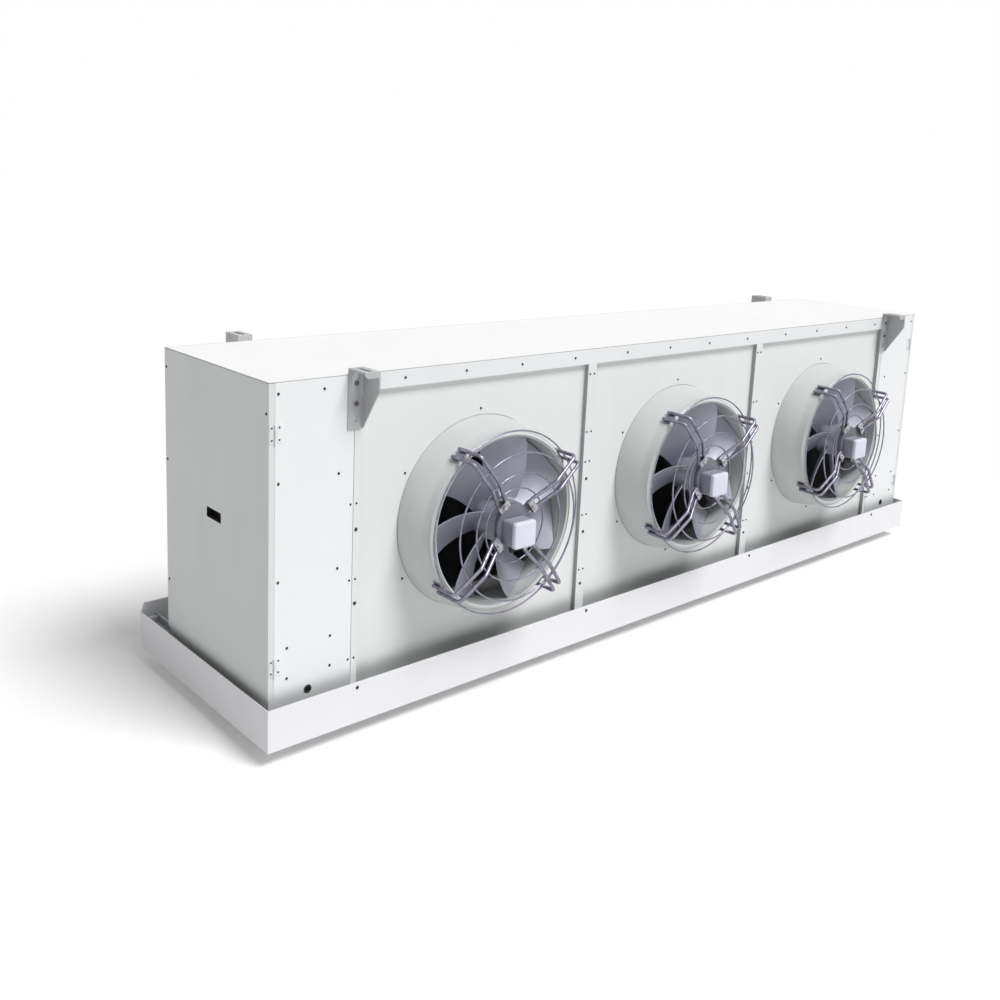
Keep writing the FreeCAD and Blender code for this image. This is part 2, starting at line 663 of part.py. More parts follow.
# Nozzle: one spun sheet, from the flange behind the panel over a rolled lip to the throat
def makeNozzle():
    body = newBody("nozzle_ring")
    curveEnd = "panelY - flareHeight"
    small = "(collarRadius - throatRadius - lipRadius)"
    inside = "(collarRadius + flareRadius - sqrt((flareRadius + nozzleWall) ^ 2 - flareHeight ^ 2))"
    revolve(body, [
        ("nozzleFlange", "panelBack + nozzleWall"), ("nozzleFlange", "panelBack"),
        ("nozzleBase", "panelBack"), ("nozzleBase", "panelY", "flareRadius", "-"),
        ("collarRadius", curveEnd), ("collarRadius", "lipY + lipRadius", "lipRadius"),
        ("collarRadius - lipRadius", "lipY", small), ("throatRadius", f"lipY + {small}"),
        ("throatRadius", "lipY + throatLength"), ("throatRadius + nozzleWall", "lipY + throatLength"),
        ("throatRadius + nozzleWall", f"lipY + {small}", f"{small} - nozzleWall", "-"),
        ("collarRadius - lipRadius", "lipY + nozzleWall", "lipRadius - nozzleWall", "-"),
        ("collarRadius - nozzleWall", "lipY + lipRadius"),
        ("collarRadius - nozzleWall", curveEnd, "flareRadius + nozzleWall"),
        (inside, "panelY"), (inside, "panelBack + nozzleWall")])
    keepFans("nozzle_ring", body)


# Fixed half of the external rotor motor: flange, stator and the bearing bore for the shaft
def makeMotor():
    body = newBody("fan_motor")
    core = "rotorRadius - rotorWall - rotorGap"
    coreBack = "rotorBack - rotorWall - 2"
    bore = "shaftRadius + runningFit"
    revolve(body, [
        ("0", "flangeFront"), ("flangeRadius", "flangeFront"), ("flangeRadius", "flangeBack"),
        (core, "flangeBack"), (core, coreBack), (bore, coreBack), (bore, "flangeBack"),
        ("0", "flangeBack")])
    reach = "lugRadius + lugWidth / 2"
    lug = polygon(
        ("flangeRadius / 2", "-lugWidth / 2"), ("lugRadius", "-lugWidth / 2", "lugWidth / 2"),
        (reach, "0", "lugWidth / 2"), ("lugRadius", "lugWidth / 2"), ("flangeRadius / 2", "lugWidth / 2"))
    tongue = pad(body, "XZ", lug, "flangeFront", "flangeBack")
    hole = pocket(body, "XZ", holes("boltRadius", ("lugRadius", "0")), "flangeFront", "flangeBack")
    polar(body, [tongue, hole], armCount)
    turned = group("fan_motor_turned", [body])
    turned.Placement = FreeCAD.Placement(FreeCAD.Vector(), FreeCAD.Rotation(FreeCAD.Vector(0, -1, 0), 1))
    bind(turned, "Placement.Rotation.Angle", "armAngle")
    keepFans("fan_motor", turned)


# One sickle blade: flat sections lofted outwards, trimmed to the rotor and the throat
def bladeShape():
    root = number("rotorRadius - rotorWall / 2")
    tip = number("bladeRadius")
    middleY = number("lipY + bladeSetback")
    half = number("bladeThickness") / 2
    start = root * 0.7
    stations = 5
    across = 6
    wires = []
    for step in range(stations):
        share = step / (stations - 1)
        radius = start + (tip - start) * share
        chord = number("rootChord") + (number("tipChord") - number("rootChord")) * share
        pitch = math.radians(number("rootPitch") + (number("tipPitch") - number("rootPitch")) * share)
        lead = math.radians(number("bladeSweep")) * share ** 2
        faces = []
        for side in (1, -1):
            points = []
            for spot in range(across + 1):
                run = spot / across - 0.5
                bow = number("bladeCamber") * (1 - 4 * run ** 2) + side * half
                along = chord * run * math.cos(pitch) - bow * math.sin(pitch)
                axial = chord * run * math.sin(pitch) + bow * math.cos(pitch)
                x = radius * math.cos(lead) - along * math.sin(lead)
                z = radius * math.sin(lead) + along * math.cos(lead)
                points.append(FreeCAD.Vector(x, middleY + axial, z))
            faces.append(points)
        front = Part.BSplineCurve()
        front.interpolate(faces[0])
        back = Part.BSplineCurve()
        back.interpolate(faces[1][::-1])
        wires.append(Part.Wire([front.toShape(), Part.makeLine(faces[0][-1], faces[1][-1]),
                                back.toShape(), Part.makeLine(faces[1][0], faces[0][0])]))
    blade = Part.makeLoft(wires, True)
    base = FreeCAD.Vector(0, middleY - tip, 0)
    along = FreeCAD.Vector(0, 1, 0)
    blade = blade.common(Part.makeCylinder(tip, 2 * tip, base, along))
    return blade.cut(Part.makeCylinder(root, 2 * tip, base, along))


# Impeller: rotor bell with its shaft, and the blades welded round it
def makeImpeller():
    body = newBody("rotor_bell")
    inner = "rotorRadius - rotorWall"
    revolve(body, [
        (inner, "rotorFront"), ("rotorRadius", "rotorFront"), ("rotorRadius", "rotorBack"),
        ("0", "rotorBack"), ("0", "flangeBack + 3"), ("shaftRadius", "flangeBack + 3"),
        ("shaftRadius", "rotorBack - rotorWall"), (inner, "rotorBack - rotorWall")])
    blade = bladeShape()
    blades = []
    for index in range(bladeCount):
        copy = blade.copy()
        angle = number("bladePhase") + index * 360 / bladeCount
        copy.rotate(FreeCAD.Vector(), FreeCAD.Vector(0, -1, 0), angle)
        blades.append(copy)
    keepFans("impeller", solid("impeller_wheel", body.Shape.multiFuse(blades)))


# A rod bent along a path, with an arc at each corner
def bentRod(points, radius, bend):
    edges = []
    last = points[0]
    for index in range(1, len(points) - 1):
        corner = points[index]
        back = (points[index - 1] - corner).normalize()
        ahead = (points[index + 1] - corner).normalize()
        half = back.getAngle(ahead) / 2
        run = bend / math.tan(half)
        first = corner + back * run
        second = corner + ahead * run
        middle = corner + (back + ahead).normalize() * (bend / math.sin(half) - bend)
        edges.append(Part.LineSegment(last, first).toShape())
        edges.append(Part.Arc(first, middle, second).toShape())
        last = second
    edges.append(Part.LineSegment(last, points[-1]).toShape())
    path = Part.Wire(edges)
    ring = Part.Wire([Part.Circle(points[0], points[1] - points[0], radius).toShape()])
    return path.makePipeShell([ring], True, True)


# Guard: three wire rings on four double arms that turn back to feet on the collar
def makeGuard():
    lip = number("lipY")
    rodRadius = number("rodRadius")
    footTop = number("collarRadius + softGap + footSheet")
    outer = footTop + rodRadius - number("weldSink")
    route = [
        (number("armStart"), number("rodLine")),
        (number("lugRadius + lugWidth / 2"), number("rodLine")),
        (number("kneeRadius"), lip - number("kneeLead")),
        (outer, lip - number("elbowLead")),
        (outer, lip + number("footSetback")),
    ]
    pieces = []
    for side in (1, -1):
        across = side * number("rodSpacing") / 2
        points = [FreeCAD.Vector(radius, y, across) for radius, y in route]
        pieces.append(bentRod(points, rodRadius, number("rodBend")))
    footStart = lip + number("footSetback - footLength")
    foot = Part.makeCylinder(footTop, number("footLength"), FreeCAD.Vector(0, footStart, 0),
                             FreeCAD.Vector(0, 1, 0))
    foot = foot.cut(Part.makeCylinder(number("collarRadius + softGap"), number("footLength"),
                                      FreeCAD.Vector(0, footStart, 0), FreeCAD.Vector(0, 1, 0)))
    width = number("rodSpacing") + 4 * rodRadius
    window = Part.makeBox(outer, number("footLength"), width, FreeCAD.Vector(0, footStart, -width / 2))
    pieces.append(foot.common(window))
    arm = pieces[0].multiFuse(pieces[1:])
    arms = []
    for index in range(armCount):
        copy = arm.copy()
        angle = number("armAngle") + index * 360 / armCount
        copy.rotate(FreeCAD.Vector(), FreeCAD.Vector(0, -1, 0), angle)
        arms.append(copy)
    wire = number("wireRadius")
    rings = [Part.makeTorus(outer - rodRadius, wire, FreeCAD.Vector(0, lip - number("ringLead"), 0),
                            FreeCAD.Vector(0, 1, 0))]
    for name in ("ringInner", "ringSecond", "ringThird"):
        radius = number(name)
        near, far = (route[1], route[2]) if radius < route[2][0] else (route[2], route[3])
        share = (radius - near[0]) / (far[0] - near[0])
        y = near[1] + (far[1] - near[1]) * share + rodRadius
        rings.append(Part.makeTorus(radius, wire, FreeCAD.Vector(0, y, 0), FreeCAD.Vector(0, 1, 0)))
    keepFans("fan_guard", solid("fan_guard_welded", arms[0].multiFuse(arms[1:] + rings)))


# Clamp plates and bolts that hold the guard arms on the motor lugs
def makeGuardBolts():
    plateFront = "flangeFront - 2 * rodRadius - clampSheet"
    width = "rodSpacing + 2 * rodRadius"
    plate = box("clamp_plate", ("armStart", "lugRadius + lugWidth / 2 - 4"),
                (plateFront, "flangeFront - 2 * rodRadius"), (f"-({width}) / 2", f"({width}) / 2"))
    shank = rod("bolt_shank", "Y", "boltRadius", "lugRadius", plateFront, "0",
                "flangeThickness + 2 * rodRadius + clampSheet")
    head = doc.addObject("Part::Prism", "bolt_head")
    head.Polygon = 6
    head.Placement = FreeCAD.Placement(FreeCAD.Vector(), turns["Y"])
    bind(head, "Circumradius", "headRadius")
    bind(head, "Height", "headHeight")
    place(head, "lugRadius", f"{plateFront} - headHeight")
    bolt = join("guard_bolt", [plate, shank, head])
    turned = []
    for index in range(armCount):
        copy = group(f"guard_bolt_turned_{index + 1}", [bolt])
        copy.Placement = FreeCAD.Placement(FreeCAD.Vector(),
                                           FreeCAD.Rotation(FreeCAD.Vector(0, -1, 0), 1))
        bind(copy, "Placement.Rotation.Angle", f"armAngle + {index * 360 / armCount}")
        turned.append(copy)
    oneFan = group("guard_bolts_one_fan", turned)
    fans = []
    for index in range(bayCount):
        copy = group(f"guard_bolts_fan_{index + 1}", [oneFan])
        fans.append(place(copy, f"bayPitch * {index - (bayCount - 1) / 2}", "0", "fanZ"))
    keep("guard_bolts", group("guard_bolts", fans))


# Terminal box on the front of the motor, its lid and its cable gland
def makeTerminalBox():
    wide = ("-boxWidth / 2", "boxWidth / 2")
    tall = ("-boxDrop - boxHeight / 2", "-boxDrop + boxHeight / 2")
    front = "flangeFront - boxDepth"
    body = newBody("terminal_box")
    pad(body, "XZ", softRectangle(wide, tall, "boxCorner"), front, "flangeFront")
    inner = softRectangle((f"{wide[0]} + boxWall", f"{wide[1]} - boxWall"),
                          (f"{tall[0]} + boxWall", f"{tall[1]} - boxWall"), "boxCorner - boxWall")
    cut = newSketch(body, "XZ", f"-({front})")
    inner(cut)
    hollow = body.newObject("PartDesign::Pocket", "terminal_box_hollow")
    hollow.Profile = cut
    bind(hollow, "Length", "boxDepth - boxWall")
    doc.recompute()
    keepFans("terminal_box", body)

    lid = newBody("terminal_box_lid")
    pad(lid, "XZ", softRectangle((f"{wide[0]} - lidReach", f"{wide[1]} + lidReach"),
                                 (f"{tall[0]} - lidReach", f"{tall[1]} + lidReach"),
                                 "boxCorner + lidReach"),
        f"{front} - lidDepth", front)
    keepFans("terminal_box_lid", lid)

    low = "-boxDrop - boxHeight / 2"
    middle = "flangeFront - boxDepth / 2"
    nut = doc.addObject("Part::Prism", "gland_nut")
    nut.Polygon = 6
    bind(nut, "Circumradius", "glandRadius * 1.3")
    bind(nut, "Height", "glandLength / 3")
    place(nut, "-glandOffset", middle, f"{low} - glandLength / 3")
    stem = rod("gland_stem", "Z", "glandRadius", "-glandOffset", middle, f"{low} - glandLength",
               "glandLength")
    gland = join("gland", [nut, stem])
    copies = []
    for index in range(bayCount):
        copy = group(f"gland_{index + 1}", [gland])
        copies.append(place(copy, f"bayPitch * {index - (bayCount - 1) / 2}", "0", "fanZ"))
    keep("cable_glands", group("cable_glands", copies))


# Rubber grommets in the cable entries of the end sections
def makeGrommets():
    low = "bottomZ + grommetRise"
    body = rod("grommet_body", "Y", "grommetRadius", "-seamX - grommetInset", "frontY - sheet", low,
               "3 * sheet")
    outer = rod("grommet_lip", "Y", "grommetRadius + grommetLip", "-seamX - grommetInset",
                "frontY - sheet", low, "sheet")
    inner = rod("grommet_back", "Y", "grommetRadius + grommetLip", "-seamX - grommetInset",
                "frontY + sheet", low, "sheet")
    bore = rod("grommet_bore", "Y", "grommetBore", "-seamX - grommetInset", "frontY - 2 * sheet", low,
               "5 * sheet")
    left = carve("grommet_left", join("grommet_rubber", [body, outer, inner]), [bore])
    keep("cable_grommets", group("cable_grommets", [left, mirrored("grommet_right", left)]))


# Places of the coil tubes: rows from the rear to the front, levels from the top down
def rowY(row):
    return f"(coilRear - coilDepth / 2 + rowPitch * {(rowCount - 1) / 2 - row})"


def levelZ(level):
    return f"(coilTop - coilHeight / 2 + tubePitch * {(levelCount - 1) / 2 - level})"


outletZ = levelZ(1)
inletZ = levelZ(levelCount - 2)


# Fin pack: a solid core with deep slots from both sides
def makeFinPack():
    pitch = number("finPitch")
    half = number("plateIn")
    thin = number("finThickness")
    front = number("coilFront")
    rear = number("coilRear")
    core = number("coreThickness") / 2
    middle = (front + rear) / 2
    count = int((2 * half - thin) // pitch)
    start = -(count - 1) * pitch / 2 - (pitch - thin) / 2
    slots = [(start + index * pitch, start + index * pitch + pitch - thin) for index in range(count)]
    points = [(-half, front)]
    for left, right in slots:
        points += [(left, front), (left, middle - core), (right, middle - core), (right, front)]
    points += [(half, front), (half, rear)]
    for left, right in reversed(slots):
        points += [(right, rear), (right, middle + core), (left, middle + core), (left, rear)]
    points.append((-half, rear))
    bottom = number("coilBottom")
    corners = [FreeCAD.Vector(x, y, bottom) for x, y in points]
    face = Part.Face(Part.makePolygon(corners + corners[:1]))
    shape = face.extrude(FreeCAD.Vector(0, 0, number("coilHeight")))
    keep("fin_pack", solid("fin_pack", shape))


# End plates of the coil, drilled for every tube
def makeEndPlates():
    body = newBody("coil_end_plate_left")
    pad(body, "YZ", rectangle(("coilFront", "halfDepth - sheet"), ("bottomZ", "roofZ - foldDepth")),
        "-plateOut", "-plateIn")
    spots = [(rowY(row), levelZ(level)) for row in range(rowCount) for level in range(levelCount)]
    pocket(body, "YZ", holes("tubeRadius + tubeFit", *spots), "-plateOut - 1", "-plateIn + 1")
    keepPair("coil_end_plate", body)


# Return bends outside the end plates
def bends(side, rows):
    start = number("plateIn")
    reach = number("plateOut + tubeStub")
    gap = number("rowPitch")
    radius = number("tubeRadius")
    shapes = []
    for level in range(levelCount):
        z = number(levelZ(level))
        for row in rows:
            y = number(rowY(row))
            points = [FreeCAD.Vector(side * start, y, z), FreeCAD.Vector(side * reach, y, z)]
            ends = [FreeCAD.Vector(side * reach, y - gap, z), FreeCAD.Vector(side * start, y - gap, z)]
            top = FreeCAD.Vector(side * (reach + gap / 2), y - gap / 2, z)
            path = Part.Wire([Part.LineSegment(*points).toShape(),
                              Part.Arc(points[1], top, ends[0]).toShape(),
                              Part.LineSegment(*ends).toShape()])
            ring = Part.Wire([Part.Circle(points[0], FreeCAD.Vector(1, 0, 0), radius).toShape()])
            shapes.append(path.makePipeShell([ring], True, True))
    return Part.makeCompound(shapes)


def makeReturnBends():
    keep("return_bends_left", solid("return_bends_left", bends(-1, (0, 2))))
    keep("return_bends_right", solid("return_bends_right", bends(1, (1,))))


# Headers with a stub to every tube of their row and a connection through the rear panel
def makeHeader(name, row, radius, offset, up):
    x = f"plateOut + {offset}"
    y = rowY(row)
    parts = [rod(name + "_tube", "Z", radius, x, y, f"{levelZ(levelCount - 1)} - headerExtra",
                 f"{levelZ(0)} - {levelZ(levelCount - 1)} + 2 * headerExtra"),
             rod(name + "_run", "Y", f"{radius} - swage", x, y, up, f"halfDepth + connectionReach - {y}"),
             rod(name + "_end", "Y", radius, x, "halfDepth + swageStart", up,
                 "connectionReach - swageStart")]
    for level in range(levelCount):
        parts.append(rod(f"{name}_stub_{level}", "X", "tubeRadius", "plateIn", y, levelZ(level),
                         f"webThickness + {offset}"))
    bores = [rod(name + "_bore", "Y", f"{radius} - headerWall", x, y, up,
                 f"halfDepth + connectionReach - {y}"),
             rod(name + "_inside", "Z", f"{radius} - headerWall", x, y,
                 f"{levelZ(levelCount - 1)} - headerExtra + headerWall",
                 f"{levelZ(0)} - {levelZ(levelCount - 1)} + 2 * headerExtra - 2 * headerWall")]
    keep(name, carve(name, join(name + "_brazed", parts), bores))


# Drip tray: a folded pan with a raised rear wall and the pins it hangs on
def makeTray():
    body = newBody("tray_pan")
    wide = ("-trayX", "trayX")
    deep = ("trayFrontY", "trayRearY")
    pad(body, "XY", rectangle(wide, deep), "trayBottom", "trayTop")
    pocket(body, "XY", rectangle(("-trayX + traySheet", "trayX - traySheet"),
                                 ("trayFrontY + traySheet", "trayRearY - traySheet")),
           "trayBottom + traySheet", "trayTop")
    lip = polygon(
        ("-trayX", "trayTop"), ("trayX", "trayTop"), ("trayX - trayLip / 3", "trayTop + trayLip"),
        ("-trayX + trayLip / 3", "trayTop + trayLip"))
    pad(body, "XZ", lip, "trayRearY - traySheet", "trayRearY")
    pocket(body, "XY", holes("drainBore", ("0", "drainY")), "trayBottom", "trayBottom + traySheet")
    parts = [body]
    for name, side in (("left", -1), ("right", 1)):
        ends = sorted((f"{side} * (trayX - traySheet)", f"{side} * (armX - 2 * armThickness)"), key=number)
        parts.append(rod("tray_pin_" + name, "X", "pivotRadius", ends[0], "pivotY", "pivotZ",
                         f"({ends[1]}) - ({ends[0]})"))
        collar = sorted((f"{side} * (armX - armThickness - softGap)", f"{side} * (armX - 2 * armThickness)"),
                        key=number)
        parts.append(rod("tray_collar_" + name, "X", "pivotRadius * 1.5", collar[0], "pivotY", "pivotZ",
                         f"({collar[1]}) - ({collar[0]})"))
    keep("drip_tray", join("drip_tray", parts))


# Hinge arms of the tray, screwed to the rear end panels
def makeTrayArms():
    half = "armHeight / 2"
    arm = newBody("tray_arm")
    profile = polygon(
        ("halfDepth", f"pivotZ - {half}"), ("pivotY", f"pivotZ - {half}", half),
        (f"pivotY + {half}", "pivotZ", half), ("pivotY", f"pivotZ + {half}"),
        ("halfDepth + 2 * armThickness", f"pivotZ + {half}"),
        ("halfDepth + armThickness", f"pivotZ + {half} + armFootHeight"),
        ("halfDepth", f"pivotZ + {half} + armFootHeight"))
    pad(arm, "YZ", profile, "-armX", "armThickness - armX")
    pocket(arm, "YZ", holes("pivotRadius + runningFit", ("pivotY", "pivotZ")), "-armX", "armThickness - armX")
    foot = box("tray_arm_foot", ("-armX", "armFoot - armX"), ("halfDepth", "halfDepth + armThickness"),
               (f"pivotZ + {half}", f"pivotZ + {half} + armFootHeight"))
    left = join("tray_arm_left", [arm, foot])
    keep("tray_hinge_arms", group("tray_hinge_arms", [left, mirrored("tray_arm_right", left)]))


# Drain socket welded under the tray
def makeDrain():
    flange = rod("drain_flange", "Z", "drainRadius + 9", "0", "drainY", "trayBottom - 3", "3")
    tube = rod("drain_tube", "Z", "drainRadius", "0", "drainY", "trayBottom - drainLength", "drainLength")
    bore = rod("drain_hole", "Z", "drainBore", "0", "drainY", "trayBottom - drainLength", "drainLength")
    keep("drain_socket", carve("drain_socket", join("drain_outside", [flange, tube]), [bore]))


# Hanging bracket: slotted top plate, gusset on one side and a flange bolted to the casing
def makeBrackets():
    half = "bracketWidth / 2"
    face = "frontY - bracketSheet"
    tip = "frontY - bracketReach"
    body = newBody("hanging_bracket")
    pad(body, "XZ", rectangle((f"-{half}", half), ("-bracketHeight", "0")), face, "frontY")
    pad(body, "XY", rectangle((f"-{half}", half), (tip, "frontY")), "-bracketSheet", "0")
    gusset = polygon(
        ("frontY", "0"), (tip, "0"), (tip, "-gussetEdge"), (face, "-bracketHeight"),
        ("frontY", "-bracketHeight"))
    pad(body, "YZ", gusset, f"{half} - bracketSheet", half)
    pad(body, "XZ", polygon((f"-{half}", "0"), (f"-{half}", "-bracketLip / 2"),
                            (f"-{half} + bracketLip / 2", "-bracketLip"), (half, "-bracketLip"), (half, "0")),
        tip, f"{tip} + bracketSheet")
    middle = "frontY - bracketReach / 2"
    straight = "(slotLength / 2 - slotRadius)"
    slot = polygon(
        ("-slotRadius", f"{middle} - {straight}", "slotRadius"),
        ("0", f"{middle} - slotLength / 2", "slotRadius"),
        ("slotRadius", f"{middle} - {straight}"),
        ("slotRadius", f"{middle} + {straight}", "slotRadius"),
        ("0", f"{middle} + slotLength / 2", "slotRadius"),
        ("-slotRadius", f"{middle} + {straight}"))
    pocket(body, "XY", slot, "-bracketSheet", "0")
    notch = softRectangle(("-notchWidth / 2", "notchWidth / 2 - bracketSheet"),
                          ("-notchDrop - notchHeight / 2", "-notchDrop + notchHeight / 2"), "notchHeight / 5")
    pocket(body, "XZ", notch, face, "frontY")
    pocket(body, "XZ", holes("boltRadius", ("0", "-bracketBoltTop"), ("0", "-bracketBoltLow")),
           face, "frontY")
    turned = group("hanging_bracket_turned", [body])
    turned.Placement = FreeCAD.Placement(FreeCAD.Vector(), FreeCAD.Rotation(180, 0, 0))
    for row, source in (("front", body), ("rear", turned)):
        for name, side in (("left", -1), ("right", 1)):
            label = f"hanging_bracket_{row}_{name}"
            keep(label, place(group(label, [source]), f"{side} * seamX"))


def makeBracketBolts():
    heads = []
    for name, drop in (("top", "bracketBoltTop"), ("low", "bracketBoltLow")):
        head = doc.addObject("Part::Prism", "bracket_head_" + name)
        head.Polygon = 6
        head.Placement = FreeCAD.Placement(FreeCAD.Vector(), turns["Y"])
        bind(head, "Circumradius", "bracketBoltHead")
        bind(head, "Height", "bracketBoltHeight")
        place(head, "0", "frontY - bracketSheet - bracketBoltHeight", f"-{drop}")
        shank = rod("bracket_shank_" + name, "Y", "boltRadius", "0", "frontY - bracketSheet", f"-{drop}",
                    "bracketSheet")
        heads.append(join("bracket_bolt_" + name, [head, shank]))
    front = group("bracket_bolts_front", heads)
    rear = group("bracket_bolts_rear", [front])
    rear.Placement = FreeCAD.Placement(FreeCAD.Vector(), FreeCAD.Rotation(180, 0, 0))
    pairs = []
    for row, source in (("front", front), ("rear", rear)):
        for side in (-1, 1):
            copy = group(f"bracket_bolts_{row}_{'left' if side < 0 else 'right'}", [source])
            pairs.append(place(copy, f"{side} * seamX"))
    keep("bracket_bolts", group("bracket_bolts", pairs))


# Screw heads on a face that looks towards -Y
def frontHeads(places, face, radius):
    heads = []
    height = number("screwHeight")
    for x, z in places:
        base = FreeCAD.Vector(x, number(face) - height, z)
        heads.append(Part.makeCylinder(radius, height, base, FreeCAD.Vector(0, 1, 0)))
    return heads


def makeScrews():
    roof = number("roofZ")
    seam = number("seamX")
    edge = number("panelEdge")
    small = number("screwRadius")
    large = number("studRadius")
    pitch = number("bayPitch")
    half = number("postWidth") / 4

    def level(share):
        return roof - share * number("casingHeight")

    # End panels: a row at the top and two columns, mirrored for the right end
    places = []
    for side in (-1, 1):
        places += [(side * (edge - 9), roof - 30), (side * (seam + 95), roof - 30)]
        places += [(side * (edge - 10), level(share)) for share in (0.292, 0.585)]
        places += [(side * (seam + 48), level(share)) for share in (0.292, 0.585)]
        places += [(side * (seam + 200), level(share)) for share in (0.793, 0.888)]
        places += [(side * (seam + 68), level(share)) for share in (0.793, 0.888)]
    heads = frontHeads(places, "frontY", small)

    # Posts: pairs either side of each seam and a few larger heads on the seam
    pairs, studs = [], []
    for index in range(bayCount + 1):
        x = (index - bayCount / 2) * pitch
        inner = 0 < index < bayCount
        for share in ((0.091, 0.301, 0.412, 0.611, 0.82) if inner else (0.394, 0.633, 0.888)):
            pairs += [(x - half, level(share)), (x + half, level(share))]
        for share in ((0.476, 0.676, 0.875) if inner else (0.476, 0.711)):
            studs.append((x + half * (0 if inner else -1 if index == bayCount else 1), level(share)))
    heads += frontHeads(pairs, "frontY", small * 0.8)
    heads += frontHeads(studs, "frontY", large)

    # Rail: four heads over each bay
    rail = []
    for index in range(bayCount):
        rail += [((index - bayCount / 2 + share) * pitch, roof - number("railHeight") / 2)
                 for share in (0.18, 0.42, 0.66, 0.91)]
    heads += frontHeads(rail, "frontY", small)

    # Fan panels: a circle of heads round each nozzle
    circle = []
    for index in range(bayCount):
        axis = (index - (bayCount - 1) / 2) * pitch
        for step in range(6):
            angle = math.radians(90 + 60 * step)
            reach = number("nozzleBase") + 20
            circle.append((axis + reach * math.cos(angle), number("fanZ") + reach * math.sin(angle)))
    heads += frontHeads(circle, "panelY", small)
    keep("casing_screws", solid("casing_screws", Part.makeCompound(heads)))

    # Tray: one screw under every seam
    row = number("trayTop - trayScrewDrop")
    places = [((index - bayCount / 2) * pitch, row) for index in range(bayCount + 1)]
    keep("tray_screws", solid("tray_screws", Part.makeCompound(frontHeads(places, "trayFrontY", large))))

    # Side covers: heads along the upper and rear edges
    height = number("screwHeight")
    depth = number("halfDepth")
    for name, side in (("left", -1), ("right", 1)):
        heads = []
        for y, share in ((depth - 12, 0.061), (depth - 12, 0.365), (depth - 12, 0.775),
                         (12 - depth, 0.089)):
            base = FreeCAD.Vector(side * number("halfLength"), y, level(share))
            heads.append(Part.makeCylinder(small, height, base, FreeCAD.Vector(side, 0, 0)))
        keep("cover_screws_" + name, solid("cover_screws_" + name, Part.makeCompound(heads)))


makeRoof()
makeRail()
makeRearFrame()
makeFrontEndPanel()
makeRearEndPanels()
makeSideCovers()
makeHinges()
makeGripCups()
makePartitions()
makeFanPanel()
makeNozzle()
makeMotor()
makeImpeller()
makeGuard()
makeGuardBolts()
makeTerminalBox()
makeGrommets()
makeFinPack()
makeEndPlates()
makeReturnBends()
makeHeader("outlet_header", 0, "outletRadius", "outletOffset", outletZ)
makeHeader("inlet_header", rowCount - 1, "inletRadius", "inletOffset", inletZ)
makeTray()
makeTrayArms()
makeDrain()
makeBrackets()
makeBracketBolts()
makeScrews()
doc.recompute()

# Nothing is written unless every object and every piece is sound
for item in doc.Objects:
    if "Invalid" in item.State or "Error" in item.State:
        raise RuntimeError(item.Name + " did not rebuild")
for name, item in nodes.items():
    if item.Shape.isNull() or not item.Shape.isValid() or not item.Shape.Solids:
        raise RuntimeError(name + " has no sound shape")

os.makedirs("parts", exist_ok=True)
for name, item in nodes.items():
    item.Shape.exportStep(f"parts/{name}.step")
print(len(nodes), "pieces written")
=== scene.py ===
import bmesh
import bpy
import json
import math
from mathutils import Matrix, Vector


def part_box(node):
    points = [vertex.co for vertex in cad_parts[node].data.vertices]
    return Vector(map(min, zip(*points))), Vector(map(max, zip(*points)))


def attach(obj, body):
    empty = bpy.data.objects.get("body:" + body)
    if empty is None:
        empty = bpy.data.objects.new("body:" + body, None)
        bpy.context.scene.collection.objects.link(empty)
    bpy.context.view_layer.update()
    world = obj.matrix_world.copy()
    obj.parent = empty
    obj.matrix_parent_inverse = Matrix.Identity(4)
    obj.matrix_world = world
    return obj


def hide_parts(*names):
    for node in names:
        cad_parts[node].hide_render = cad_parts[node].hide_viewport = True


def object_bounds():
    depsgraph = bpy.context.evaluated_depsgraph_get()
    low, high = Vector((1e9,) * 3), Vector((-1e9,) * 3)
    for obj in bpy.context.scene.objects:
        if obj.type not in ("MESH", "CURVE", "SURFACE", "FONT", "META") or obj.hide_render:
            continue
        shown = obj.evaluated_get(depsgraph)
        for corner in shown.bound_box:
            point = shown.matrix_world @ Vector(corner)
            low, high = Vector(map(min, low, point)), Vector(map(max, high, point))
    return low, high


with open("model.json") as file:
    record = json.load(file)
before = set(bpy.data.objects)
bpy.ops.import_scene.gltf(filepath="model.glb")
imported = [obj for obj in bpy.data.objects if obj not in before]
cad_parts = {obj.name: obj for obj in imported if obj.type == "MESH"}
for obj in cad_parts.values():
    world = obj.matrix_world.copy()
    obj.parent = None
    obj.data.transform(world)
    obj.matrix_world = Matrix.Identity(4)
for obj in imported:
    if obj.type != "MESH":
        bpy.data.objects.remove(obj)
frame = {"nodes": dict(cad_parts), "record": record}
nodes = frame["nodes"]
bodyOf = {name: body for body, group in frame["record"]["behaviour"]["bodies"].items() for name in group}
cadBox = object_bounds()
fans = (1, 2, 3)
print("frame loaded:", len(nodes), "nodes")


# A shader socket that takes part in sums; each operator adds a Math node
class Signal:
    def __init__(self, surface, socket):
        self.surface = surface
        self.socket = socket

    def join(self, operation, *values):
        return self.surface.add("ShaderNodeMath", {"operation": operation}, dict(enumerate(values)))

    def __add__(self, other):
        return self.join("ADD", self, other)

    def __radd__(self, other):
        return self.join("ADD", other, self)

    def __sub__(self, other):
        return self.join("SUBTRACT", self, other)

    def __rsub__(self, other):
        return self.join("SUBTRACT", other, self)

    def __mul__(self, other):
        return self.join("MULTIPLY", self, other)

    def __rmul__(self, other):
        return self.join("MULTIPLY", other, self)

    def __pow__(self, other):
        return self.join("POWER", self, other)


